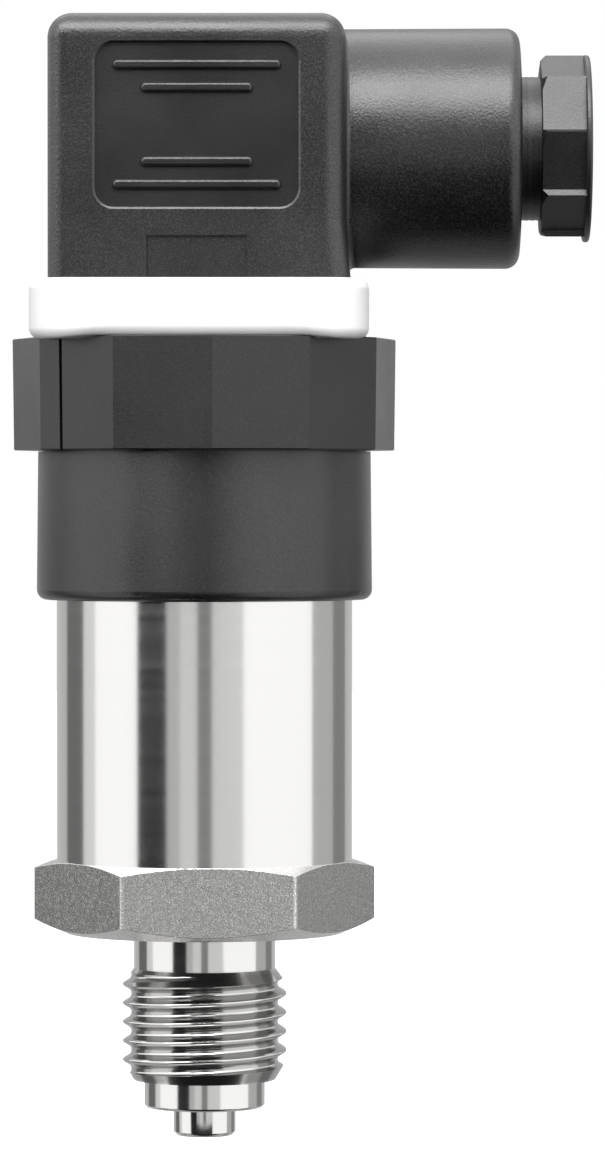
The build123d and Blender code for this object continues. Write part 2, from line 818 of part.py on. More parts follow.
with BuildPart() as gland_washer:
    with BuildSketch(Plane.YZ.offset(seal_end)):
        with Locations((0, gland_z)):
            Circle(gland_r)
            Circle(cable_r, mode=Mode.SUBTRACT)
    extrude(amount=washer_thickness)
save(gland_washer, "gland_washer")

tooth_angle = 360 / nut_teeth
tooth_points = []
for tooth in range(nut_teeth):
    ledge = radians(nut_first_tooth - tooth_angle * tooth)
    foot = radians(nut_first_tooth - tooth_angle * (tooth + 1))
    tooth_points.append((-nut_high_r * cos(ledge), gland_z + nut_high_r * sin(ledge)))
    tooth_points.append((-nut_low_r * cos(foot), gland_z + nut_low_r * sin(foot)))

with BuildPart() as gland_nut:
    with BuildSketch(Plane.YZ.offset(nut_head)):
        with BuildLine():
            Polyline(*tooth_points, close=True)
        make_face()
    extrude(amount=nut_rim - nut_head)
    with BuildSketch(Plane.XZ):
        with BuildLine():
            Polyline(
                (nut_head, gland_z),
                (nut_head, gland_z + nut_high_r - nut_edge),
                (nut_head + nut_edge, gland_z + nut_high_r),
                (nut_rim, gland_z + nut_high_r),
                (nut_rim, gland_z),
                close=True,
            )
        make_face()
    revolve(axis=gland_axis, mode=Mode.INTERSECT)
    with BuildSketch(Plane.YZ.offset(nut_rim)):
        with Locations((0, gland_z)):
            Circle(nut_rim_r)
    extrude(amount=nut_end - nut_rim)
    fillet(faces().sort_by(Axis.X)[-1].edges(), nut_rim_edge)
    with BuildSketch(Plane.YZ.offset(washer_end)):
        with Locations((0, gland_z)):
            Circle(gland_r)
    extrude(amount=nut_head - washer_end)
    with BuildSketch(Plane.YZ.offset(washer_end)):
        with Locations((0, gland_z)):
            Circle(cable_r)
    extrude(amount=nut_end - washer_end, mode=Mode.SUBTRACT)
save(gland_nut, "gland_nut")
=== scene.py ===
# %% [markdown]
# A screw-in pressure transducer, dressed for the camera.
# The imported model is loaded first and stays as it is: every piece already has its
# real size and place, in metres, with the origin at the middle of the hexagon's
# underside, +Z up to the plug and +X out of the cable gland. What follows gives
# each piece its finish, and models again the few pieces whose look depends on
# fine form: the thread and its hexagon, the gland nut, the soft white gasket,
# the rubber bush and the fixing screw.

# %% Load the frame
import math

import bpy
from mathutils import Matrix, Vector


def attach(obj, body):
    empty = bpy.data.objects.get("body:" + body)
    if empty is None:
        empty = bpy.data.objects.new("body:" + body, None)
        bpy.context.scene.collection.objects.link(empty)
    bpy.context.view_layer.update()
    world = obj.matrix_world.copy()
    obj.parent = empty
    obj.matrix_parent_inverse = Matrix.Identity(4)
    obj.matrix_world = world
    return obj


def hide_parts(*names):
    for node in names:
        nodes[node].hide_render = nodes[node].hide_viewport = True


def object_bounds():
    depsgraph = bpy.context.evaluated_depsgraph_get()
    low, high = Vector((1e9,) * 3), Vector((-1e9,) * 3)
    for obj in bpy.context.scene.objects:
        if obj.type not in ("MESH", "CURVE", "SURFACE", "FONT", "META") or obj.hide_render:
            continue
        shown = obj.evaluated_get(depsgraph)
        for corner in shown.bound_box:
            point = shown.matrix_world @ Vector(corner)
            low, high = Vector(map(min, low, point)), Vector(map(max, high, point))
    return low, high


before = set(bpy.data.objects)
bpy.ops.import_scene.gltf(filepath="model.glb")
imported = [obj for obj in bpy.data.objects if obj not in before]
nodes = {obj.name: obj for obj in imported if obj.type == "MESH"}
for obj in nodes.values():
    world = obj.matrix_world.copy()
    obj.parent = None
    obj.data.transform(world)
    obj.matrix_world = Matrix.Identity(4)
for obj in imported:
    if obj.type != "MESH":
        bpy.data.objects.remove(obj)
cad_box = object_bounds()
MM = 0.001
print("nodes", len(nodes), "box", [tuple(round(v, 4) for v in corner) for corner in cad_box])


# %% [markdown]
# The camera stands level with the black collar, a little to the right of the
# instrument's axis and half a metre away, and it is tipped down by less than a
# degree. The long lens gives the photograph's nearly flat view: the hexagon's
# edges hardly curve, and the plug's front face covers its sides.

# %% Camera
CAMERA_DISTANCE = 530 * MM
CAMERA_RIGHT = 8.83 * MM
CAMERA_HEIGHT = 39.4 * MM
AIM_HEIGHT = 32.1 * MM
FRAME_HEIGHT = 103.8 * MM       # what the image covers, top to bottom, at the axis
SENSOR = 36.0

bpy.ops.object.camera_add(location=(CAMERA_RIGHT, -CAMERA_DISTANCE, CAMERA_HEIGHT))
camera = bpy.context.object
camera.name = "camera"
dip = math.atan2(CAMERA_HEIGHT - AIM_HEIGHT, CAMERA_DISTANCE)
camera.rotation_euler = (math.pi / 2 - dip, 0, 0)
camera.data.sensor_width = SENSOR
camera.data.lens = SENSOR * (CAMERA_DISTANCE / math.cos(dip)) / FRAME_HEIGHT
camera.data.clip_start = 0.01
camera.data.clip_end = 20
bpy.context.scene.camera = camera
bpy.context.scene.view_settings.view_transform = "Standard"
print("lens", round(camera.data.lens, 1), "mm")


# %% [markdown]
# Materials are built from nodes. Two small helpers keep that readable: one starts
# an empty material, and the other adds a node, sets its fields and links or
# fills its inputs in one line.

# %% Helpers for nodes
def new_material(name):
    """An empty material and its node tree."""
    material = bpy.data.materials.new(name)
    material.use_nodes = True
    material.node_tree.nodes.clear()
    return material, material.node_tree


def add_node(tree, kind, settings=None, **inputs):
    """One shader node. Inputs are values or sockets, named with underscores or by number as _0."""
    node = tree.nodes.new(kind)
    for name, value in (settings or {}).items():
        setattr(node, name, value)
    for name, value in inputs.items():
        by_number = name[1:].isdigit()
        socket = node.inputs[int(name[1:]) if by_number else name.replace("_", " ")]
        if isinstance(value, bpy.types.NodeSocket):
            tree.links.new(value, socket)
        else:
            socket.default_value = value
    return node


def grey(level):
    """A colour without hue, with its alpha."""
    return (level, level, level, 1)


# %% [markdown]
# Steel and black plastic both look like what stands around them, so the studio
# is built from cards, as a product photographer would set it. Only reflections
# see the cards. A ring of them stands round the object: two bright boxes left
# and right make the broad white bands on the tube, and the dark cards beside
# them and around the lens make the dark bands that show its roundness. Each
# card covers a stretch of the ring, counted in degrees from the camera towards
# the right. The ring has two rows. From the camera, steel mirrors the lower row
# and the plastics higher up mirror mostly the upper one, where the dark card
# hangs in front and the sides are brighter. Above hangs an arch of soft boxes,
# from over the camera to behind the object, which draws the highlight along the
# plug and the cable barrel, and a dark cloth hangs below. Their stretches are
# counted upwards from the camera.

# %% Studio cards
CARD_STEPS = 12                 # how finely a card is divided, so that it bends
RING_RADIUS = 0.9
SPLIT = 0.09                    # height on the ring between what steel and what plastic mirrors
DARK_TOP = 0.12                 # the left dark card reaches a little higher, up to the tube's top
ring_cards = (
    # name, from, to, bottom, top, brightness
    ("card_lens", -4.5, 6.5, -0.24, SPLIT, 0.28),
    ("card_front_left", -18, -4.5, -0.24, SPLIT, 0.85),
    ("card_by_dark", -28.5, -18, -0.24, SPLIT, 0.6),
    ("card_front_right", 6.5, 31, -0.24, SPLIT, 0.85),
    ("card_dark_left", -52.2, -28.5, -1.2, DARK_TOP, 0.02),
    ("box_right", 31, 93, -1.2, SPLIT, 1.4),
    ("card_right", 93, 120, -1.2, SPLIT, 0.58),
    ("card_back_right", 120, 143, -1.2, SPLIT, 0.28),
    ("box_left", -93, -52.2, -1.2, SPLIT, 1.4),
    ("card_far_left", -107.5, -93, -1.2, SPLIT, 0.9),
    ("card_back_left", -134, -107.5, -1.2, SPLIT, 0.18),
    ("card_back", -217, -134, -0.7, 0.7, 0.6),
    ("hood_front", -22, 16, SPLIT, 0.7, 0.05),
    ("box_high_left", -62, -22, DARK_TOP, 1.2, 4.2),
    ("box_high_far_left", -109, -62, SPLIT, 1.2, 2.5),
    ("box_high_right", 16, 93, SPLIT, 1.2, 2.3),
    ("box_high_back_left", -150, -109, SPLIT, 1.2, 2.2),
    ("box_high_back_right", 93, 150, SPLIT, 1.2, 1.4),
)
ARCH_RADIUS = 1.3
ARCH_HALF_WIDTH = 1.3
arch_cards = (
    # name, from, to, brightness
    ("cloth_below", -100, -16, 0.02),
    ("cloth_low_back", -150, -100, 0.5),
    ("box_over_camera", 27.5, 72, 12.2),
    ("box_above", 74, 150, 2.6),
)


def emission_material(name, brightness):
    """A white that glows and takes no light."""
    material, tree = new_material(name)
    glow = add_node(tree, "ShaderNodeEmission", Color=grey(1), Strength=brightness)
    add_node(tree, "ShaderNodeOutputMaterial", Surface=glow.outputs[0])
    return material


def hang_card(name, brightness, place):
    """A sheet for reflections alone. place gives a point for the shares across and up, 0 to 1."""
    bpy.ops.mesh.primitive_grid_add(x_subdivisions=CARD_STEPS, y_subdivisions=CARD_STEPS, size=1)
    card = bpy.context.object
    card.name = name
    for vertex in card.data.vertices:
        vertex.co = place(vertex.co.x + 0.5, vertex.co.y + 0.5)
    card.data.materials.append(emission_material(name, brightness))
    card.visible_camera = False
    card.visible_diffuse = False
    card.visible_shadow = False


for name, start, stop, bottom, top, brightness in ring_cards:
    def on_ring(across, up, start=start, stop=stop, bottom=bottom, top=top):
        turn = math.radians(start + across * (stop - start))
        height = bottom + up * (top - bottom)
        return (RING_RADIUS * math.sin(turn), -RING_RADIUS * math.cos(turn), height)

    hang_card(name, brightness, on_ring)

for name, start, stop, brightness in arch_cards:
    def on_arch(across, up, start=start, stop=stop):
        turn = math.radians(start + up * (stop - start))
        side = ARCH_HALF_WIDTH * (2 * across - 1)
        return (side, -ARCH_RADIUS * math.cos(turn), ARCH_RADIUS * math.sin(turn))

    hang_card(name, brightness, on_arch)
print("cards", len(ring_cards) + len(arch_cards))


# %% [markdown]
# The world is white for the camera, for glossy and for transmitted rays, so the
# background is pure white and metal shows it too. For diffuse light the same
# world is a soft sky: light from above and from the sides, little from below.
# Two large lamps, which reflections don't see, add the plain light of the
# studio. The pale floor lies below the picture.

# %% World, lamps and floor
SKY_ABOVE = 0.9
SKY_BELOW = 0.06
HORIZON_FROM = -0.45            # the sky brightens between these two values of the ray's Z
HORIZON_TO = 0.35
FLOOR_DROP = 60 * MM
FLOOR_SIZE = 6.0
FLOOR_GREY = 0.8
FLOOR_GLOW = 0.65               # added for the camera, so that the lit floor is white

world = bpy.data.worlds.new("studio")
bpy.context.scene.world = world
world.use_nodes = True
tree = world.node_tree
tree.nodes.clear()
path = add_node(tree, "ShaderNodeLightPath")
seen = add_node(
    tree, "ShaderNodeMath", {"operation": "MAXIMUM"},
    _0=path.outputs["Is Camera Ray"], _1=path.outputs["Is Transmission Ray"],
)
shown = add_node(
    tree, "ShaderNodeMath", {"operation": "MAXIMUM"},
    _0=seen.outputs[0], _1=path.outputs["Is Glossy Ray"],
)
direction = add_node(tree, "ShaderNodeTexCoord")
upward = add_node(tree, "ShaderNodeSeparateXYZ", Vector=direction.outputs["Generated"])
sky = add_node(
    tree, "ShaderNodeMapRange", Value=upward.outputs["Z"],
    From_Min=HORIZON_FROM, From_Max=HORIZON_TO, To_Min=SKY_BELOW, To_Max=SKY_ABOVE,
)
level = add_node(
    tree, "ShaderNodeMix", {"data_type": "FLOAT"}, _0=shown.outputs[0], _2=sky.outputs[0], _3=1.0,
)
background = add_node(tree, "ShaderNodeBackground", Color=grey(1), Strength=level.outputs[0])
add_node(tree, "ShaderNodeOutputWorld", Surface=background.outputs[0])


def lamp(name, place, aim, width, height, power):
    """A soft rectangular lamp that looks at a point and lights without being mirrored."""
    bpy.ops.object.light_add(type="AREA", location=place)
    light = bpy.context.object
    light.name = name
    light.data.shape = "RECTANGLE"
    light.data.size = width
    light.data.size_y = height
    light.data.energy = power
    light.rotation_euler = (Vector(aim) - Vector(place)).to_track_quat("-Z", "Y").to_euler()
    light.visible_glossy = False


lamp("lamp_above", place=(0.05, -0.35, 0.8), aim=(0, 0, 0.05), width=0.9, height=0.5, power=6.0)
lamp("lamp_front", place=(-0.1, -0.95, 0.25), aim=(0, 0, 0.04), width=0.8, height=0.5, power=4.5)

floor_z = cad_box[0][2] - FLOOR_DROP
bpy.ops.mesh.primitive_grid_add(
    x_subdivisions=4, y_subdivisions=4, size=FLOOR_SIZE, location=(0, 0, floor_z),
)
floor = bpy.context.object
floor.name = "floor"
floor.visible_glossy = False
floor.visible_diffuse = False
material, tree = new_material("pale_floor")
pale = add_node(tree, "ShaderNodeBsdfDiffuse", Color=grey(FLOOR_GREY))
path = add_node(tree, "ShaderNodeLightPath")
glow = add_node(
    tree, "ShaderNodeMath", {"operation": "MULTIPLY"},
    _0=path.outputs["Is Camera Ray"], _1=FLOOR_GLOW,
)
white = add_node(tree, "ShaderNodeEmission", Color=grey(1), Strength=glow.outputs[0])
both = add_node(tree, "ShaderNodeAddShader", _0=pale.outputs[0], _1=white.outputs[0])
add_node(tree, "ShaderNodeOutputMaterial", Surface=both.outputs[0])
floor.data.materials.append(material)
print("floor at", round(floor_z, 4))


# %% [markdown]
# The turned pieces are modelled as a lathe would cut them. A ring of points is
# the start; it is extruded and scaled from one station to the next, each a
# radius and a height, until the outline is complete. A solid piece starts from
# a filled disc, and a piece with a bore comes back to the ring that it started
# from, where the doubled points are merged. Spin would make the same shape, but
# a list of stations reads like the drawing of a turned part.

# %% Helpers for modelling
LATHE_POINTS = 120
DOUBLES = 0.001                 # points nearer to each other than this are merged, in millimetres


def leave_others():
    """Nothing is selected any more, so an operator works on the new piece alone."""
    bpy.ops.object.select_all(action="DESELECT")


def select_only(piece):
    """The piece alone is selected and active."""
    leave_others()
    piece.select_set(True)
    bpy.context.view_layer.objects.active = piece


def apply_place(piece):
    """The place and turn of an object go into its mesh."""
    select_only(piece)
    bpy.ops.object.transform_apply(location=True, rotation=True, scale=True)


def apply_modifier(piece, step):
    """What a modifier makes becomes the piece's mesh."""
    select_only(piece)
    bpy.ops.object.modifier_apply(modifier=step.name)


def edit_all():
    """Edit mode, with everything in the piece selected."""
    bpy.ops.object.mode_set(mode="EDIT")
    bpy.ops.mesh.select_all(action="SELECT")


def extrude_up(rise):
    """What is selected is extruded by a rise in millimetres."""
    bpy.ops.mesh.extrude_region_move(TRANSFORM_OT_translate={"value": (0, 0, rise * MM)})


def turned(name, stations, points=LATHE_POINTS, bored=True):
    """A piece turned about Z. Stations are (radius, height) in millimetres."""
    leave_others()
    radius, height = stations[0]
    bpy.ops.mesh.primitive_circle_add(
        vertices=points, radius=radius * MM, location=(0, 0, height * MM),
        fill_type="NOTHING" if bored else "NGON",
    )
    piece = bpy.context.object
    piece.name = name
    apply_place(piece)
    edit_all()
    for next_radius, next_height in stations[1:]:
        extrude_up(next_height - height)
        if next_radius != radius:
            ratio = next_radius / radius
            bpy.ops.transform.resize(
                value=(ratio, ratio, 1), center_override=(0, 0, next_height * MM)
            )
        radius, height = next_radius, next_height
    tidy_mesh()
    return piece


def tidy_mesh():
    """Doubles are merged, faces turned outwards, and edit mode is left."""
    bpy.ops.mesh.select_all(action="SELECT")
    bpy.ops.mesh.remove_doubles(threshold=DOUBLES * MM)
    bpy.ops.mesh.normals_make_consistent(inside=False)
    bpy.ops.object.mode_set(mode="OBJECT")


def select_edges(piece, wanted):
    """In edit mode, selects the edges for which wanted(first point, second point) is true."""
    bpy.ops.mesh.select_mode(type="EDGE")
    bpy.ops.mesh.select_all(action="DESELECT")
    bpy.ops.object.mode_set(mode="OBJECT")
    points = piece.data.vertices
    for edge in piece.data.edges:
        edge.select = wanted(points[edge.vertices[0]].co, points[edge.vertices[1]].co)
    bpy.ops.object.mode_set(mode="EDIT")


def combine(piece, tool, operation):
    """The tool is cut from, joined to or shared with the piece, and then it is gone."""
    step = piece.modifiers.new("combine", "BOOLEAN")
    step.operation = operation
    step.object = tool
    step.solver = "EXACT"
    apply_modifier(piece, step)
    bpy.data.objects.remove(tool, do_unlink=True)


def soften_edges(piece, width, segments, degrees):
    """Edges sharper than the angle are rounded a little, as deburring leaves them."""
    step = piece.modifiers.new("soften", "BEVEL")
    step.width = width * MM
    step.segments = segments
    step.limit_method = "ANGLE"
    step.angle_limit = math.radians(degrees)
    step.miter_outer = "MITER_ARC"
    apply_modifier(piece, step)


def finish_piece(piece, material, slot, *replaced, smooth=35):
    """The piece gets its material and shading, rides on the root body and hides what it replaces.
    """
    select_only(piece)
    bpy.ops.object.shade_smooth_by_angle(angle=math.radians(smooth))
    step = piece.modifiers.new("even_shading", "WEIGHTED_NORMAL")
    step.keep_sharp = True
    apply_modifier(piece, step)
    piece.data.materials.clear()
    piece.data.materials.append(material)
    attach(piece, "root")
    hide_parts(*replaced)
    print(piece.name, len(piece.data.polygons), "faces")


# %% [markdown]
# The process end is one bar of stainless steel: hexagon, undercut, thread,
# spigot and centring pin. It could be one long outline with the thread as a
# bump in its material, but the thread's crests stand out against the white
# background, so the helix is real. Each part is made the way the machine makes
# it. First the bar is turned, with the pocket for the pressure cell and the
# channel down to the pin, and milled to a hexagon by sharing it with a prism.

# %% Turned and milled bar
HEX_ACROSS = 26.7
HEX_TURN = 2.5                  # degrees by which the front flat looks aside
HEX_HEIGHT = 6.55
HEX_BLANK = 15.6                # radius of the bar before the flats are milled
HEX_LAND = 0.33                 # how far the corner's small land reaches along a flat
PRISM_HEIGHT = 60.0
EDGE_BREAK = 0.07
EDGE_BREAK_ANGLE = 17
CHANNEL = 1.4
PIN = 2.8
PIN_END = -18.3
SPIGOT = 5.43
SPIGOT_END = -15.75
RELIEF = 6.37                   # radius of the undercut below the hexagon
RELIEF_END = -3.4
TUBE_SEAT = 11.95               # radius of the collar that the tube is pushed over
bar_outline = (
    # the centring pin's end and side, and the spigot up into the thread
    (CHANNEL, PIN_END), (PIN - 0.35, PIN_END), (PIN, PIN_END + 0.35), (PIN, SPIGOT_END),
    (SPIGOT - 0.25, SPIGOT_END), (SPIGOT, SPIGOT_END + 0.25), (SPIGOT, RELIEF_END),
    # the undercut, and the hexagon's blank with both its bevels
    (RELIEF, RELIEF_END), (RELIEF, 0), (12.4, 0), (HEX_BLANK, 1.37), (HEX_BLANK, 5.774),
    (13.45, HEX_HEIGHT),
    # the seat that the tube is pushed over, and the pocket of the pressure cell
    (TUBE_SEAT, HEX_HEIGHT), (TUBE_SEAT, 14.5), (10.0, 14.5), (10.0, 9.0), (9.05, 9.0),
    (9.05, 3.0), (7.7, 3.0), (7.7, 1.9), (5.7, 1.9), (5.7, 3.0), (4.9, 3.0), (4.9, 2.2),
    # the channel, back down to the pin's end
    (CHANNEL, 2.2), (CHANNEL, PIN_END),
)
port_body = turned("port_connection", bar_outline)

leave_others()
bpy.ops.mesh.primitive_cylinder_add(
    vertices=6, radius=HEX_ACROSS / math.sqrt(3) * MM, depth=PRISM_HEIGHT * MM,
    rotation=(0, 0, math.radians(HEX_TURN + 30)),
)
prism = bpy.context.object
apply_place(prism)
bpy.ops.object.mode_set(mode="EDIT")
select_edges(prism, lambda a, b: abs(a.z - b.z) > MM)
bpy.ops.mesh.bevel(offset=HEX_LAND * MM, segments=2, profile=0.6)
tidy_mesh()
combine(port_body, prism, "INTERSECT")
soften_edges(port_body, EDGE_BREAK, 2, EDGE_BREAK_ANGLE)
print("bar", HEX_ACROSS, "mm across flats,", len(port_body.data.polygons), "faces")


# %% [markdown]
# The thread is one tooth's outline, swept round the axis by a Screw modifier
# that climbs one pitch a turn. Its crests are narrow and its roots wide and
# round, as a thread-cutting insert leaves them. The sweep is cut to length,
# shared with a turned envelope that gives the cones at both ends, and joined
# to the bar.

# %% Process thread
PITCH = 1.70
CREST = 7.4
ROOT = 6.62
CREST_HEIGHT = -8.91            # height of one crest at the side of the gland, +X
TURNS_BELOW = 4
TURNS = 9
PROFILE_POINTS = 20
CREST_SHARPNESS = 1.6           # at 1 crest and root are equally wide
SCREW_STEPS = 120
SWEEP_FROM = -14.6              # the sweep is cut off here, and the envelope shapes its ends
SWEEP_TO = -2.7
THREAD_FOOT = -13.25
envelope_outline = ((6.4, THREAD_FOOT), (7.5, -11.38), (7.5, -4.736), (6.3, -3.105))

outline = []
for number in range(PROFILE_POINTS + 1):
    share = number / PROFILE_POINTS
    rise = ((1 - math.cos(2 * math.pi * share)) / 2) ** CREST_SHARPNESS
    height = CREST_HEIGHT - (TURNS_BELOW + 0.5 - share) * PITCH
    outline.append((ROOT + (CREST - ROOT) * rise, height))

leave_others()
bpy.ops.mesh.primitive_plane_add(size=MM, location=(outline[0][0] * MM, 0, outline[0][1] * MM))
thread = bpy.context.object
thread.name = "thread_sweep"
apply_place(thread)
bpy.ops.object.mode_set(mode="EDIT")
bpy.ops.mesh.select_mode(type="VERT")
bpy.ops.mesh.select_all(action="SELECT")
bpy.ops.mesh.merge(type="CENTER")
for before, after in zip(outline, outline[1:]):
    step = ((after[0] - before[0]) * MM, 0, (after[1] - before[1]) * MM)
    bpy.ops.mesh.extrude_region_move(TRANSFORM_OT_translate={"value": step})
bpy.ops.object.mode_set(mode="OBJECT")

sweep = thread.modifiers.new("sweep", "SCREW")
sweep.axis = "Z"
sweep.angle = 2 * math.pi
sweep.screw_offset = PITCH * MM
sweep.iterations = TURNS
sweep.steps = SCREW_STEPS
sweep.render_steps = SCREW_STEPS
sweep.use_merge_vertices = True
sweep.merge_threshold = 2 * DOUBLES * MM
apply_modifier(thread, sweep)

bpy.ops.object.mode_set(mode="EDIT")
for cut_height, up in ((SWEEP_FROM, False), (SWEEP_TO, True)):
    bpy.ops.mesh.select_all(action="SELECT")
    bpy.ops.mesh.bisect(
        plane_co=(0, 0, cut_height * MM), plane_no=(0, 0, 1), use_fill=True,
        clear_inner=not up, clear_outer=up,
    )
tidy_mesh()

combine(thread, turned("thread_envelope", envelope_outline, bored=False), "INTERSECT")
combine(port_body, thread, "UNION")
bpy.ops.object.mode_set(mode="EDIT")
tidy_mesh()
print("thread", 2 * CREST, "mm over the crests,", PITCH, "mm from crest to crest")


# %% [markdown]
# Black mouldings get their look from a fine spark-eroded grain: thousands of
# tiny dimples that scatter the highlight. Glints, where a dimple would face the
# light, are painted into the colour as pale specks. One group makes three
# patterns from the object's own coordinates: the dimples, slow clouds of gloss,
# and the mask of the painted glints. The plug, the collar, the sleeve, the nut
# and the plain pieces inside all use it with values of their own.

# %% Grain group
NUMBER = "NodeSocketFloat"


def new_group(name, inputs, outputs):
    """A shader group with number inputs and named outputs, and its two end nodes."""
    group = bpy.data.node_groups.new(name, "ShaderNodeTree")
    for label, value in inputs:
        socket = group.interface.new_socket(name=label, in_out="INPUT", socket_type=NUMBER)
        socket.default_value = value
    for label in outputs:
        group.interface.new_socket(name=label, in_out="OUTPUT", socket_type=NUMBER)
    return group, group.nodes.new("NodeGroupInput"), group.nodes.new("NodeGroupOutput")


def place_group(tree, group, **values):
    """A copy of a group in a material, with its own values."""
    node = tree.nodes.new("ShaderNodeGroup")
    node.node_tree = group
    for name, value in values.items():
        node.inputs[name.replace("_", " ")].default_value = value
    return node


grain, start, end = new_group(
    "moulded_grain",
    (("Dimple Scale", 4000.0), ("Cloud Scale", 90.0), ("Glint Scale", 6000.0)),
    ("Height", "Cloud", "Glints"),
)
place = add_node(grain, "ShaderNodeTexCoord")
dimples = add_node(
    grain, "ShaderNodeTexNoise", Vector=place.outputs["Object"],
    Scale=start.outputs["Dimple Scale"], Detail=2.0, Roughness=0.6,
)
clouds = add_node(
    grain, "ShaderNodeTexNoise", Vector=place.outputs["Object"],
    Scale=start.outputs["Cloud Scale"], Detail=3.0, Roughness=0.5,
)
glints = add_node(
    grain, "ShaderNodeTexNoise", Vector=place.outputs["Object"],
    Scale=start.outputs["Glint Scale"], Detail=1.0, Roughness=0.5,
)
# Mask of the painted glints: where it is high, pale specks of painted highlight go into the colour.
pale = add_node(
    grain, "ShaderNodeMapRange", Value=glints.outputs["Fac"], From_Min=0.45, From_Max=0.7,
)
grain.links.new(dimples.outputs["Fac"], end.inputs["Height"])
grain.links.new(clouds.outputs["Fac"], end.inputs["Cloud"])
grain.links.new(pale.outputs[0], end.inputs["Glints"])
print("group", grain.name)


# %% [markdown]
# The plug's front and back carry a shallow sunk panel with round corners. Its
# border slopes, so the upper edge is dark and the lower one catches the light.
# The slope is narrower than a millimetre and as deep as a hair, so it is a bump:
# the group measures how far a point lies outside the rounded rectangle, and
# turns that distance into a height from 0 on the panel to 1 beside it. In the
# panel the moulding is smooth, so the same height also fades out the painted
# glints.

# %% Panel border
PANEL_MIDDLE = (-0.47, 71.9)
PANEL_SIZE = (18.1, 14.6)
PANEL_CORNER = 1.8
PANEL_SLOPE = 0.26              # width of the sloping border
PANEL_DEPTH = 0.1
EVERY_DEPTH = 1                 # in metres, so that a point's depth in the plug never counts
straight = [(size / 2 - PANEL_CORNER) * MM for size in PANEL_SIZE]

panel_edge, start, end = new_group("panel_edge", (), ("Height",))
place = add_node(panel_edge, "ShaderNodeTexCoord")
beside = add_node(
    panel_edge, "ShaderNodeVectorMath", {"operation": "SUBTRACT"},
    _0=place.outputs["Object"], _1=(PANEL_MIDDLE[0] * MM, 0, PANEL_MIDDLE[1] * MM),
)
folded = add_node(
    panel_edge, "ShaderNodeVectorMath", {"operation": "ABSOLUTE"}, _0=beside.outputs[0],
)
past = add_node(
    panel_edge, "ShaderNodeVectorMath", {"operation": "SUBTRACT"}, _0=folded.outputs[0],
    _1=(straight[0], EVERY_DEPTH, straight[1]),
)
outer = add_node(
    panel_edge, "ShaderNodeVectorMath", {"operation": "MAXIMUM"}, _0=past.outputs[0], _1=(0, 0, 0),
)
reach = add_node(panel_edge, "ShaderNodeVectorMath", {"operation": "LENGTH"}, _0=outer.outputs[0])
slope = add_node(
    panel_edge, "ShaderNodeMapRange", {"interpolation_type": "SMOOTHSTEP"},
    Value=reach.outputs["Value"],
    From_Min=(PANEL_CORNER - PANEL_SLOPE / 2) * MM, From_Max=(PANEL_CORNER + PANEL_SLOPE / 2) * MM,
)
panel_edge.links.new(slope.outputs[0], end.inputs["Height"])
print("group", panel_edge.name)


# %% [markdown]
# The black plastics differ little in colour. What tells them apart is their
# gloss and grain: the plug and the nut come from coarsely eroded moulds, and the
# collar and the sleeve are smoother. So one recipe takes those values for each.
# The small helpers in it serve the steels and the plain finishes too.

# %% Black plastics
PATTERN_LOW = 0.3               # between these two values lies most of a noise pattern
PATTERN_HIGH = 0.7
PLASTIC_CLOUDS = 90.0
GLINTS_TO_DIMPLES = 1.6         # glints are this much finer than dimples
DIMPLE_DEPTH = 0.04
MIX_SOCKETS = {"FLOAT": (2, 3, 0), "VECTOR": (4, 5, 1), "RGBA": (6, 7, 2)}


def vary(tree, pattern, low, high):
    """A value that wanders between two limits as the pattern does."""
    return add_node(
        tree, "ShaderNodeMapRange", Value=pattern,
        From_Min=PATTERN_LOW, From_Max=PATTERN_HIGH, To_Min=low, To_Max=high,
    ).outputs[0]


def mix(tree, kind, mask, first, second):
    """The first value where the mask is 0 and the second where it is 1."""
    first_place, second_place, result = MIX_SOCKETS[kind]
    values = {"_0": mask, f"_{first_place}": first, f"_{second_place}": second}
    return add_node(tree, "ShaderNodeMix", {"data_type": kind}, **values).outputs[result]


def multiply(tree, first, second):
    """The product of two numbers."""
    return add_node(
        tree, "ShaderNodeMath", {"operation": "MULTIPLY"}, _0=first, _1=second,
    ).outputs[0]


def surface(tree, colour, rough, normal, **more):
    """The Principled shader of a material, linked to its output."""
    shader = add_node(
        tree, "ShaderNodeBsdfPrincipled", Base_Color=colour, Roughness=rough, Normal=normal, **more,
    )
    add_node(tree, "ShaderNodeOutputMaterial", Surface=shader.outputs[0])


def black_plastic(name, colour, rough, dimple_scale, bump, painted_glint_colour, ior=1.5, panel=False):
    """Moulded black plastic: dimples as bump, clouds in the gloss, painted glints in the colour."""
    material, tree = new_material(name)
    skin = place_group(
        tree, grain, Dimple_Scale=dimple_scale, Glint_Scale=dimple_scale * GLINTS_TO_DIMPLES,
        Cloud_Scale=PLASTIC_CLOUDS,
    )
    painted_glints = skin.outputs["Glints"]
    relief = add_node(
        tree, "ShaderNodeBump", Height=skin.outputs["Height"], Strength=bump,
        Distance=DIMPLE_DEPTH * MM,
    ).outputs[0]
    if panel:
        edge = place_group(tree, panel_edge)
        painted_glints = multiply(tree, painted_glints, edge.outputs["Height"])
        relief = add_node(
            tree, "ShaderNodeBump", Height=edge.outputs["Height"], Strength=1.0,
            Distance=PANEL_DEPTH * MM, Normal=relief,
        ).outputs[0]
    # Pale specks of painted highlight go into the colour where the glints mask is high.
    tone = mix(tree, "RGBA", painted_glints, grey(colour), grey(painted_glint_colour))
    gloss = vary(tree, skin.outputs["Cloud"], rough - 0.05, rough + 0.06)
    surface(tree, tone, gloss, relief, IOR=ior)
    return material
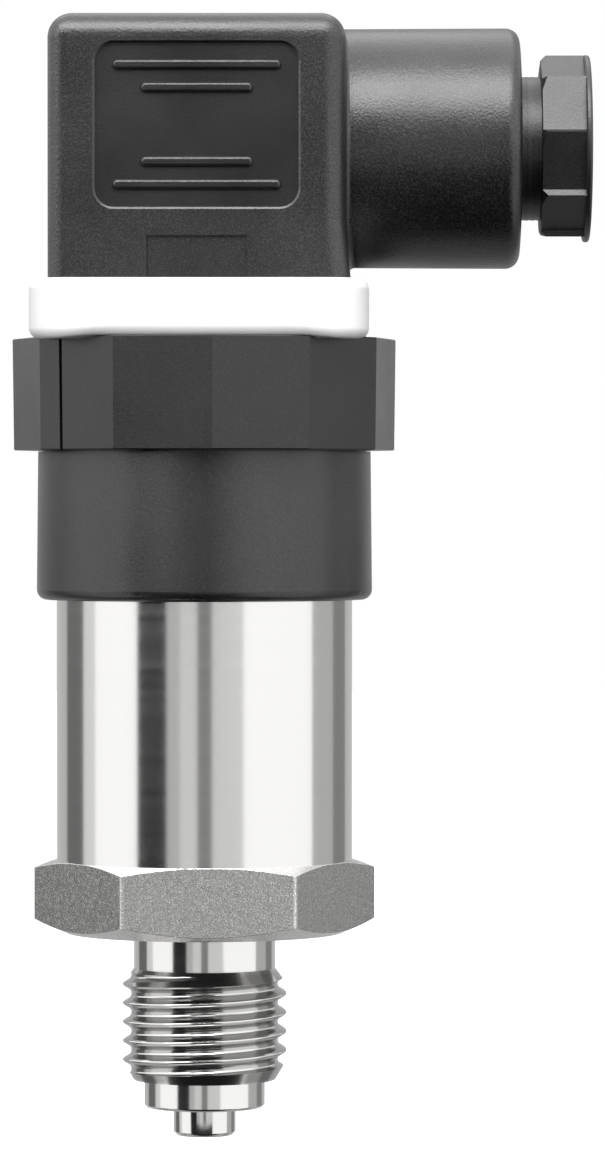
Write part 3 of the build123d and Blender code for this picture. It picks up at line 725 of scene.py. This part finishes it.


# name, colour, roughness, dimple scale, bump, painted glint colour
plug_black = black_plastic("plug_black", 0.0015, 0.32, 4300, 0.8, 0.024, panel=True)
collar_black = black_plastic("collar_black", 0.002, 0.3, 5200, 0.2, 0.012, ior=1.45)
sleeve_black = black_plastic("sleeve_black", 0.005, 0.3, 5200, 0.2, 0.02)
nut_black = black_plastic("nut_black", 0.0012, 0.39, 4500, 0.6, 0.01)
inner_black = black_plastic("inner_black", 0.02, 0.5, 3000, 0.2, 0.03)
print("materials", len(bpy.data.materials))


# %% [markdown]
# Turned steel carries the fine rings of the cutting tool. They are noise that is
# stretched far round the axis and squeezed along it, so each ring is a little
# different. The group serves all the steels: on the tube the rings are faint
# polishing scratches, and on the bar they are stronger.

# %% Turned steel
rings, start, end = new_group(
    "tool_rings", (("Ring Scale", 6000.0), ("Streak Scale", 60.0)), ("Height", "Broad"),
)
place = add_node(rings, "ShaderNodeTexCoord")
squeeze = add_node(
    rings, "ShaderNodeCombineXYZ",
    X=start.outputs["Streak Scale"], Y=start.outputs["Streak Scale"], Z=start.outputs["Ring Scale"],
)
stretch = add_node(
    rings, "ShaderNodeVectorMath", {"operation": "MULTIPLY"},
    _0=place.outputs["Object"], _1=squeeze.outputs[0],
)
fine = add_node(
    rings, "ShaderNodeTexNoise", Vector=stretch.outputs[0], Scale=1.0, Detail=3.0, Roughness=0.6,
)
broad = add_node(
    rings, "ShaderNodeTexNoise", Vector=stretch.outputs[0], Scale=0.12, Detail=2.0, Roughness=0.5,
)
rings.links.new(fine.outputs["Fac"], end.inputs["Height"])
rings.links.new(broad.outputs["Fac"], end.inputs["Broad"])


RING_DEPTH = 0.01


def ring_finish(tree, rough, bump, ring_scale):
    """Roughness and normal of turned steel."""
    marks = place_group(tree, rings, Ring_Scale=ring_scale)
    normal = add_node(
        tree, "ShaderNodeBump", Height=marks.outputs["Height"], Strength=bump,
        Distance=RING_DEPTH * MM,
    )
    return vary(tree, marks.outputs["Broad"], rough - 0.015, rough + 0.02), normal.outputs[0]


def turned_metal(name, colour, rough, bump, ring_scale):
    """Steel that was turned all over."""
    material, tree = new_material(name)
    gloss, normal = ring_finish(tree, rough, bump, ring_scale)
    surface(tree, colour, gloss, normal, Metallic=1.0)
    return material


tube_steel = turned_metal("tube_steel", (0.66, 0.655, 0.645, 1), 0.13, 0.05, 9000)
clamp_steel = turned_metal("clamp_steel", (0.6, 0.595, 0.585, 1), 0.25, 0.2, 6000)
print("turned steels", tube_steel.name, clamp_steel.name)


# %% [markdown]
# The bar is one piece with three finishes. The turned parts shine. The
# hexagon's flats are ground, with an even grain like sandpaper and pale specks
# in their colour, partly grain and partly painted glints. The thread is a little
# duller, and its colour is darker as painted shade. A mask of its own
# shape tells each apart, from the distance to the axis and the height, so the
# borders lie where the tools stopped.

# %% Bar steel
BAR_COLOUR = (0.65, 0.645, 0.635)
BAR_ROUGH = 0.12
# The thread's darker colour is painted shade.
THREAD_PAINTED_SHADE = 0.62             # the thread's colour as a share of the bar's
THREAD_ROUGH = 0.15
THREAD_FADE_IN = (-13.3, -13.0)
THREAD_FADE_OUT = (-3.6, -3.0)
GROUND_FROM = 12.45             # the radius past which the steel is ground
GROUND_COLOUR = (0.5, 0.495, 0.485, 1)
GROUND_ROUGH = 0.2
GRIT_DEPTH = 0.03
# The pale specks on the ground flats are partly grain and partly painted glints.
GRAIN_AND_GLINT_SHARE = 1.2               # colour of the pale specks as a share of the bar's


def shaded(colour, share):
    """A colour, darker or lighter, with its alpha."""
    return tuple(share * part for part in colour) + (1,)


bar_steel, tree = new_material("bar_steel")
place = add_node(tree, "ShaderNodeTexCoord")
height = add_node(tree, "ShaderNodeSeparateXYZ", Vector=place.outputs["Object"])
flat = add_node(
    tree, "ShaderNodeVectorMath", {"operation": "MULTIPLY"},
    _0=place.outputs["Object"], _1=(1, 1, 0),
)
reach = add_node(tree, "ShaderNodeVectorMath", {"operation": "LENGTH"}, _0=flat.outputs[0])
below, above = (
    add_node(
        tree, "ShaderNodeMapRange", Value=height.outputs["Z"],
        From_Min=fade[0] * MM, From_Max=fade[1] * MM, To_Min=at_foot, To_Max=1.0 - at_foot,
    ).outputs[0]
    for fade, at_foot in ((THREAD_FADE_IN, 0.0), (THREAD_FADE_OUT, 1.0))
)
on_thread = multiply(tree, below, above)
on_flats = add_node(
    tree, "ShaderNodeMath", {"operation": "GREATER_THAN"},
    _0=reach.outputs["Value"], _1=GROUND_FROM * MM,
).outputs[0]

turned_rough, turned_normal = ring_finish(tree, BAR_ROUGH, 0.12, 7000)
grit = place_group(tree, grain, Dimple_Scale=7000.0, Cloud_Scale=2500.0, Glint_Scale=8500.0)
ground_normal = add_node(
    tree, "ShaderNodeBump", Height=grit.outputs["Height"], Strength=0.75, Distance=GRIT_DEPTH * MM,
).outputs[0]
ground_rough = vary(tree, grit.outputs["Cloud"], GROUND_ROUGH - 0.05, GROUND_ROUGH + 0.06)
# The ground flats' colour gets pale specks from the glints mask: partly grain, partly painted
# glints.
ground_tone = mix(
    tree, "RGBA", grit.outputs["Glints"], GROUND_COLOUR, shaded(BAR_COLOUR, GRAIN_AND_GLINT_SHARE),
)
# On the thread the colour is darker: painted shade.
tone = mix(tree, "RGBA", on_thread, shaded(BAR_COLOUR, 1.0), shaded(BAR_COLOUR, THREAD_PAINTED_SHADE))
rough = mix(tree, "FLOAT", on_thread, turned_rough, THREAD_ROUGH)
surface(
    tree,
    mix(tree, "RGBA", on_flats, tone, ground_tone),
    mix(tree, "FLOAT", on_flats, rough, ground_rough),
    mix(tree, "VECTOR", on_flats, turned_normal, ground_normal),
    Metallic=1.0,
)
finish_piece(port_body, bar_steel, "turned_steel", "process_connection", smooth=14)


# %% [markdown]
# Rubber, ceramic, board and contacts are seen only when the instrument is taken
# apart or looked at from below and from the gland. They share one plain recipe:
# a colour with slight clouds in its gloss. The white gasket uses it too, because
# smooth silicone shows no more than that.

# %% Plain finishes
def plain(name, colour, rough, metallic=0.0):
    """A smooth finish with slow clouds in its gloss and the faintest grain."""
    material, tree = new_material(name)
    skin = place_group(tree, grain, Cloud_Scale=150.0)
    relief = add_node(
        tree, "ShaderNodeBump", Height=skin.outputs["Height"], Strength=0.05,
        Distance=GRIT_DEPTH * MM,
    )
    gloss = vary(tree, skin.outputs["Cloud"], rough - 0.05, rough + 0.05)
    surface(tree, shaded(colour, 1.0), gloss, relief.outputs[0], Metallic=metallic)
    return material


white_silicone = plain("white_silicone", (0.88, 0.88, 0.885), 0.5)
black_rubber = plain("black_rubber", (0.02, 0.02, 0.02), 0.55)
zinc = plain("zinc", (0.55, 0.55, 0.58), 0.38, 1.0)
tinned = plain("tinned", (0.72, 0.66, 0.5), 0.25, 1.0)
ceramic = plain("ceramic", (0.82, 0.8, 0.75), 0.5)
finishes = {
    tube_steel: ("housing_tube",),
    clamp_steel: ("process_connection", "cell_clamp_ring"),
    sleeve_black: ("head_sleeve",),
    collar_black: ("union_collar",),
    plug_black: ("plug_housing",),
    nut_black: ("gland_nut",),
    white_silicone: ("base_gasket",),
    black_rubber: ("gland_seal", "cell_seal", "tube_seal", "base_seal", "screw_seal"),
    inner_black: (
        "gland_washer", "board_holder", "connector_base", "contact_insert", "board_chips",
        "board_resistors",
    ),
    ceramic: ("cell_body", "cell_diaphragm"),
    plain("board_green", (0.02, 0.16, 0.05), 0.35): ("circuit_board",),
    plain("lead_red", (0.45, 0.03, 0.02), 0.4): ("output_leads",),
    plain("capacitor_tan", (0.5, 0.36, 0.22), 0.4): ("board_capacitors",),
    plain("bush_brass", (0.75, 0.55, 0.25), 0.25, 1.0): ("base_bush",),
    zinc: ("fixing_screw", "terminal_screws", "cell_pins"),
}
finish_of = {name: finish for finish, names in finishes.items() for name in names}
for name, node in nodes.items():
    node.data.materials.clear()
    node.data.materials.append(finish_of.get(name, tinned))
print("finished", len(nodes), "nodes")


# %% [markdown]
# The gland nut is a black moulding with nine teeth like a ratchet's: each facet
# runs inwards and ends at a small ledge, where fingers or pliers hold it. A
# round blank with two points a tooth is pulled to that outline, extruded, and
# shared with a cone that takes off its front corners. The rim and the threaded
# shank are turned and joined on, and the cable's way is cut through.

# %% Gland nut
GLAND_HEIGHT = 70.55
NUT_TEETH = 9
NUT_HIGH = 8.38                 # radius at the outer end of a facet
NUT_LOW = 7.86                  # radius at the foot of a ledge
NUT_FIRST_TOOTH = 9.3           # degrees from the front at which the first ledge lies
NUT_LEDGE_SLANT = 2.0           # degrees by which a ledge's outer edge lies lower than its foot
NUT_HEAD = 30.2                 # these are distances from the instrument's axis
NUT_RIM = 34.05
NUT_END = 34.6
SHANK = 6.45
SHANK_START = 23.3
NECK = SHANK + 0.25             # radius of the core inside the head
NECK_START = 28.5
NECK_RINGS = 3
NECK_RING = 0.55                # pitch of the thread that shows on the neck
NECK_RING_DEPTH = 0.03
CABLE_WAY = 4.5
OVERLAP = 0.08                  # how far the toothed head reaches into the rim


def lay_on_gland(piece):
    """A piece that was modelled upright is laid along the cable gland's axis."""
    piece.rotation_euler = (0, math.pi / 2, 0)
    piece.location = (0, 0, GLAND_HEIGHT * MM)
    apply_place(piece)


leave_others()
bpy.ops.mesh.primitive_circle_add(
    vertices=2 * NUT_TEETH, radius=NUT_HIGH * MM, location=(0, 0, NUT_HEAD * MM),
    fill_type="NGON",
)
nut = bpy.context.object
nut.name = "gland_nut_moulded"
apply_place(nut)
for number, vertex in enumerate(nut.data.vertices):
    slant = 0 if number % 2 else NUT_LEDGE_SLANT
    ledge_angle = math.radians(NUT_FIRST_TOOTH - slant - 360 / NUT_TEETH * ((number + 1) // 2))
    reach = (NUT_LOW if number % 2 else NUT_HIGH) * MM
    vertex.co.x = -reach * math.sin(ledge_angle)
    vertex.co.y = -reach * math.cos(ledge_angle)
edit_all()
extrude_up(NUT_RIM + OVERLAP - NUT_HEAD)
tidy_mesh()
cone_outline = (
    (NUT_HIGH - 0.5, NUT_HEAD - 0.02), (NUT_HIGH + 0.3, NUT_HEAD + 0.78), (NUT_HIGH + 0.3, NUT_END),
)
combine(nut, turned("nut_cone", cone_outline, bored=False), "INTERSECT")
soften_edges(nut, 0.14, 3, 30)

shank_outline = [(SHANK, SHANK_START), (SHANK, NECK_START)]
for number in range(NECK_RINGS):
    height = NECK_START + number * NECK_RING
    shank_outline += [
        (SHANK - NECK_RING_DEPTH, height + 0.2), (SHANK, height + 0.4), (SHANK, height + NECK_RING),
    ]
shank_outline += [
    (NECK, NUT_HEAD + 0.05), (NECK, NUT_RIM), (NUT_HIGH - 0.1, NUT_RIM),
    (NUT_HIGH + 0.02, NUT_RIM + 0.12), (NUT_HIGH + 0.02, NUT_END - 0.2),
    (NUT_HIGH - 0.06, NUT_END - 0.06), (NUT_HIGH - 0.2, NUT_END),
]
combine(nut, turned("nut_shank", shank_outline, bored=False), "UNION")
bore_outline = (
    (CABLE_WAY, SHANK_START - 1), (CABLE_WAY, NUT_END - 0.3), (CABLE_WAY + 0.4, NUT_END + 0.1),
)
combine(nut, turned("cable_way", bore_outline, points=64, bored=False), "DIFFERENCE")
bpy.ops.object.mode_set(mode="EDIT")
tidy_mesh()
lay_on_gland(nut)
finish_piece(nut, nut_black, "nut_plastic", "gland_nut", smooth=28)


# %% [markdown]
# Behind the nut a rubber bush grips the cable. It is seen through the nut's
# bore, so its lips are rounded, as moulded rubber is. It is turned like the
# steel, but with softer corners.

# %% Rubber bush
bush_outline = (
    (3.6, 17.0), (5.6, 17.0), (6.2, 17.3), (6.43, 17.9), (6.43, 22.3), (6.25, 22.48), (4.1, 22.48),
    (3.75, 22.35), (3.55, 22.0), (3.5, 21.5), (3.5, 17.2), (3.6, 17.0),
)
bush = turned("gland_bush", bush_outline, points=72)
soften_edges(bush, 0.1, 2, 20)
lay_on_gland(bush)
finish_piece(bush, black_rubber, "black_rubber", "gland_seal", smooth=60)


# %% [markdown]
# The white gasket is soft silicone, squeezed between plug and base. Its block
# starts as a cube with round corners and round edges. A cavity for the plug's
# foot and slots for the contacts are cut out, and then the corners, which
# nothing carries, sag a little, as they do in the photograph.

# %% White gasket
GASKET_MIDDLE = -0.3
GASKET_SIZE = (30.0, 29.8)
GASKET_FOOT = 53.4
GASKET_TOP = 58.5
GASKET_SEAT = 55.0              # the floor that the plug's foot stands on
GASKET_CORNER = 3.8
GASKET_ROUNDING = 0.95
GASKET_WALL = 14.3              # every point of the outer wall is farther out than this
CAVITY_MIDDLE = -0.1
CAVITY_SIZE = (27.1, 26.9)
CAVITY_CORNER = 1.3
SCREW_WAY = 3.5
SLOT_SIZE = (1.8, 7.3)
CONTACT_CIRCLE = 9.0
CONTACTS = 4
LONG_EDGE = 4.0                 # wall edges longer than this are divided, so that they can sag
GASKET_SAG = 0.3
SAG_STARTS = 17.0               # where the collar below ends, measured from the middle
SAG_WIDTH = 2.1


def block(name, middle, size, low, high, corner=0.0, turn=0.0, cuts=8):
    """An upright block in millimetres. With a corner radius its upright edges are rounded."""
    leave_others()
    bpy.ops.mesh.primitive_cube_add(
        size=MM, location=(middle[0] * MM, middle[1] * MM, (low + high) / 2 * MM),
        rotation=(0, 0, math.radians(turn)), scale=(size[0], size[1], high - low),
    )
    piece = bpy.context.object
    piece.name = name
    apply_place(piece)
    if corner:
        bpy.ops.object.mode_set(mode="EDIT")
        select_edges(piece, lambda a, b: abs(a.z - b.z) > 0.5 * MM)
        bpy.ops.mesh.bevel(offset=corner * MM, segments=cuts)
        tidy_mesh()
    return piece


def is_long_wall_edge(a, b):
    """True for the long edges that run along the outer wall."""
    nearest = min(a.xy.length, b.xy.length)
    return (a - b).length > LONG_EDGE * MM and nearest > GASKET_WALL * MM


gasket = block(
    "silicone_gasket", (GASKET_MIDDLE, 0), GASKET_SIZE, GASKET_FOOT, GASKET_TOP, GASKET_CORNER,
    cuts=14,
)
bpy.ops.object.mode_set(mode="EDIT")
select_edges(gasket, lambda a, b: abs(a.z - b.z) < 0.1 * MM)
bpy.ops.mesh.bevel(offset=GASKET_ROUNDING * MM, segments=7)
tidy_mesh()
cavity = block(
    "cavity", (CAVITY_MIDDLE, 0), CAVITY_SIZE, GASKET_SEAT, GASKET_TOP + 2, CAVITY_CORNER, cuts=5,
)
combine(gasket, cavity, "DIFFERENCE")
through = (GASKET_FOOT - 1, GASKET_SEAT + 1)
screw_way = turned(
    "screw_way", [(SCREW_WAY, height) for height in through], points=48, bored=False,
)
combine(gasket, screw_way, "DIFFERENCE")
for number in range(CONTACTS):
    turn = 360 / CONTACTS * number
    across, along = math.cos(math.radians(turn)), math.sin(math.radians(turn))
    middle = (CONTACT_CIRCLE * across, CONTACT_CIRCLE * along)
    combine(gasket, block("contact_slot", middle, SLOT_SIZE, *through, turn=turn), "DIFFERENCE")
bpy.ops.object.mode_set(mode="EDIT")
select_edges(gasket, is_long_wall_edge)
bpy.ops.mesh.subdivide(number_cuts=11)
tidy_mesh()
for vertex in gasket.data.vertices:
    reach = math.hypot(vertex.co.x - GASKET_MIDDLE * MM, vertex.co.y) / MM
    share = min(max((reach - SAG_STARTS) / SAG_WIDTH, 0), 1)
    depth = (GASKET_TOP * MM - vertex.co.z) / (GASKET_TOP - GASKET_FOOT)
    vertex.co.z -= GASKET_SAG * share * share * (3 - 2 * share) * depth
finish_piece(gasket, white_silicone, "white_rubber", "base_gasket", smooth=50)


# %% [markdown]
# The fixing screw lies in the counterbore on top of the plug. From above its
# head shows, with a rounded rim and a slot for the driver.

# %% Fixing screw
SHAFT = 1.5
SHAFT_FOOT = 46.5
HEAD = 3.0
HEAD_FOOT = 79.25
HEAD_TOP = 81.65
SLOT_FLOOR = 80.45
SLOT_WIDTH = 0.8
SLOT_TURN = 30                  # degrees, as the screw happened to stop when it was tight
screw_outline = (
    (SHAFT - 0.3, SHAFT_FOOT), (SHAFT, SHAFT_FOOT + 0.3), (SHAFT, HEAD_FOOT),
    (HEAD - 0.2, HEAD_FOOT), (HEAD, HEAD_FOOT + 0.2), (HEAD, HEAD_TOP - 0.45),
    (HEAD - 0.07, HEAD_TOP - 0.2), (HEAD - 0.3, HEAD_TOP),
)
screw = turned("fixing_screw_slotted", screw_outline, points=64, bored=False)
slot = block(
    "driver_slot", (0, 0), (2 * HEAD + 2, SLOT_WIDTH), SLOT_FLOOR, HEAD_TOP + 1.35, turn=SLOT_TURN,
)
combine(screw, slot, "DIFFERENCE")
soften_edges(screw, 0.06, 2, 40)
finish_piece(screw, zinc, "zinc_steel", "fixing_screw")
